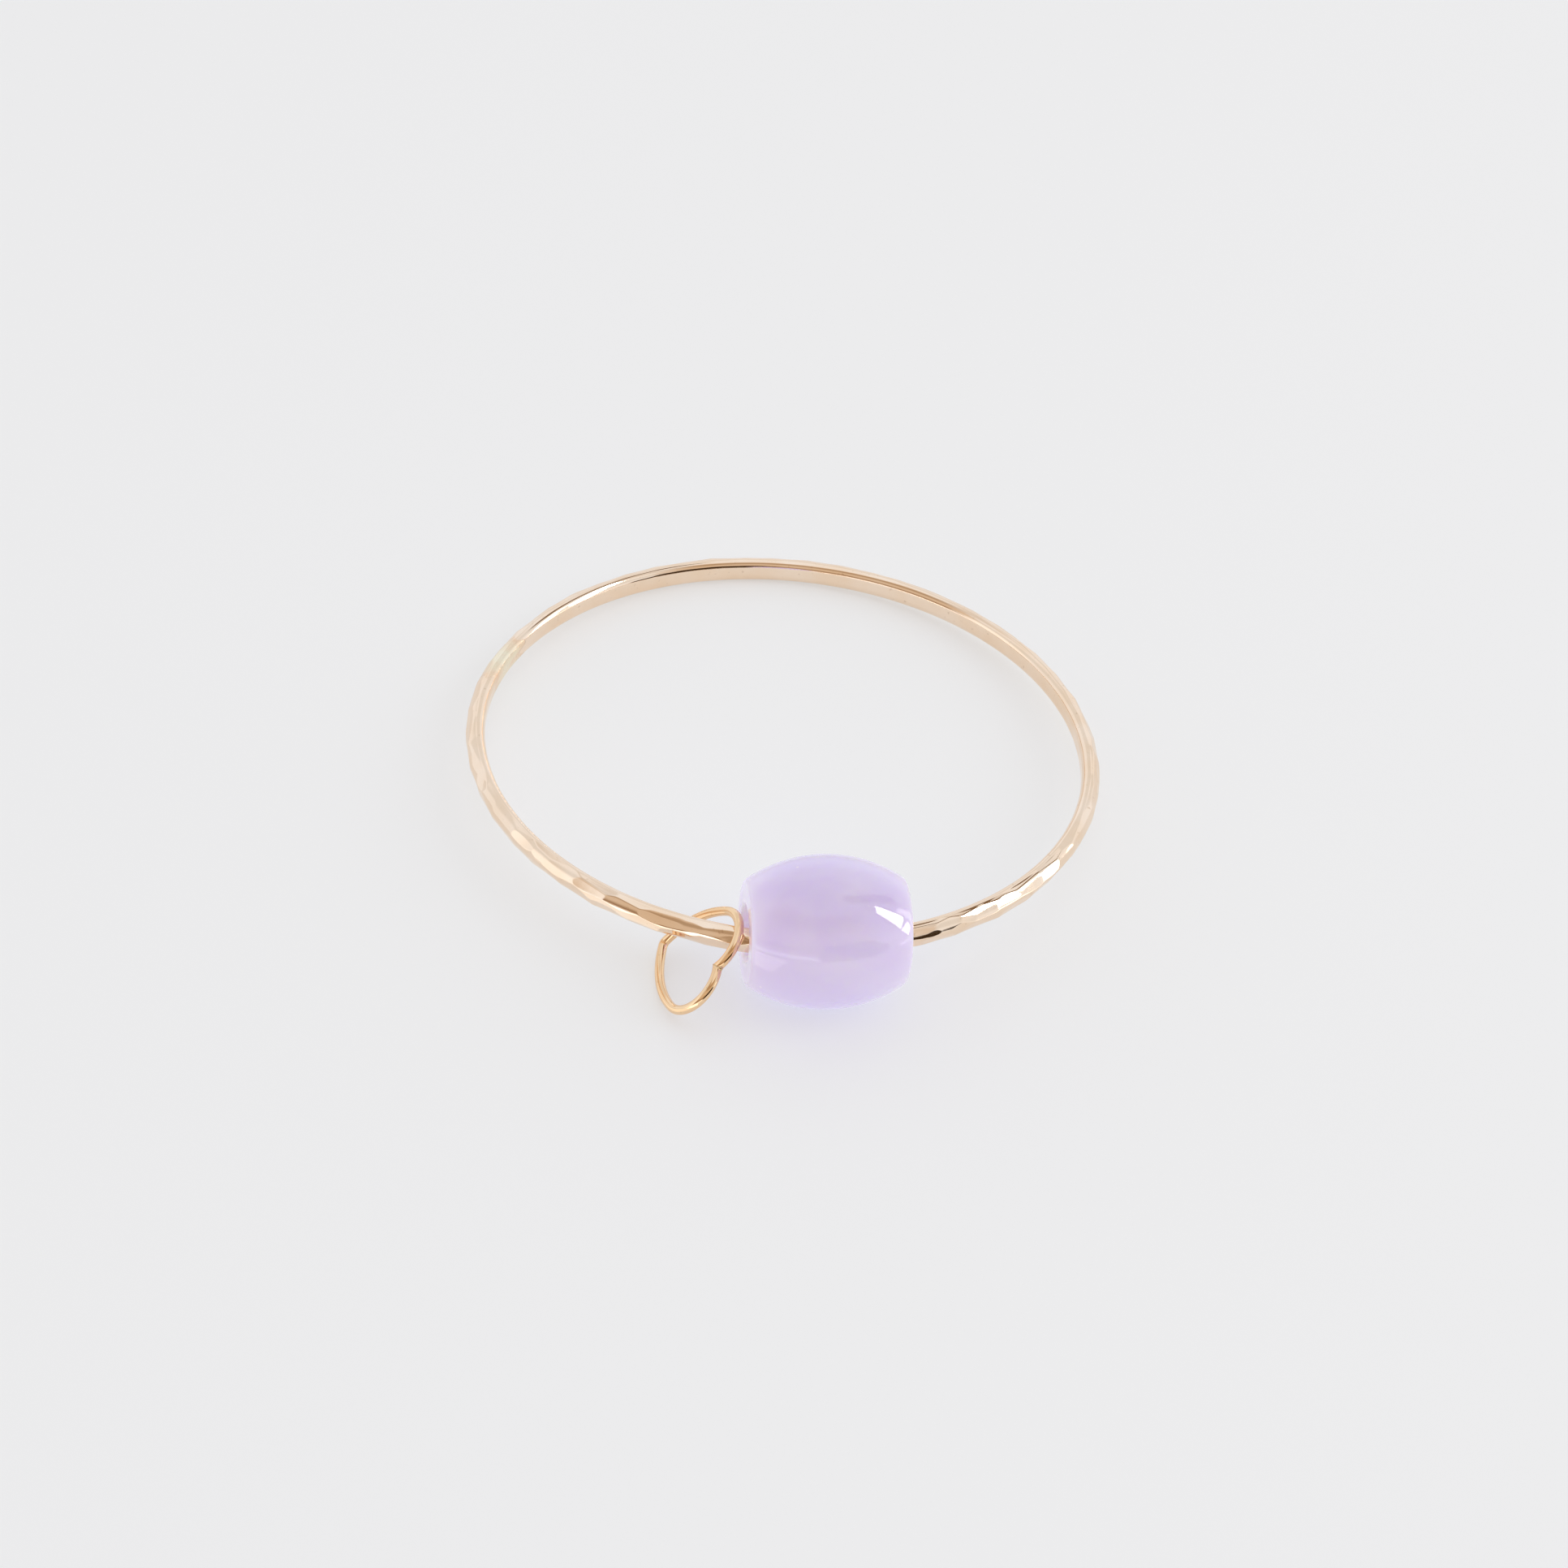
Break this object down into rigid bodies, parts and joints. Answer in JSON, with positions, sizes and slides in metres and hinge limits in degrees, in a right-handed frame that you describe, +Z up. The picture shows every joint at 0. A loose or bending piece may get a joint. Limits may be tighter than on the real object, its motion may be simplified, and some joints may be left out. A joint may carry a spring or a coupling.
{
  "type": "bangle bracelet",
  "caption": "Closed round bangle of hammered gold-filled wire, with a translucent lavender barrel bead and an open wire heart threaded on it.",
  "frame": {"origin": "on the surface that the bangle lies on, under the middle of the whole object", "axes": "+Z up; the bead is at the front, at -Y; +Y runs to the back of the ring"},
  "size_m": [0.0675, 0.0731, 0.0156],
  "materials": {
    "hammered_gold": "hammered and polished, warm rose-tinged gold",
    "ring_solder": "polished, paler and greener gold",
    "lavender_bead": "high gloss, cloudy and translucent",
    "polished_gold": "mirror polished yellow gold",
    "heart_solder": "polished gold solder"
  },
  "bodies": {
    "ring": {"bangle_ring": "hammered_gold", "ring_solder_seam": "ring_solder"},
    "bead": {"barrel_bead": "lavender_bead"},
    "heart": {"heart_wire": "polished_gold", "heart_solder_joint": "heart_solder"}
  },
  "joints": [
    {"name": "bead_travel", "type": "hinge", "parent": "ring", "child": "bead", "pos_m": [0, 0.0029, 0.00413], "axis": [0, 0.0832, 0.9965], "range_deg": [0, 305]},
    {"name": "heart_swing", "type": "hinge", "parent": "ring", "child": "heart", "pos_m": [-0.00958, -0.02834, 0.0067], "axis": [-1, 0, 0], "continuous": true}
  ]
}
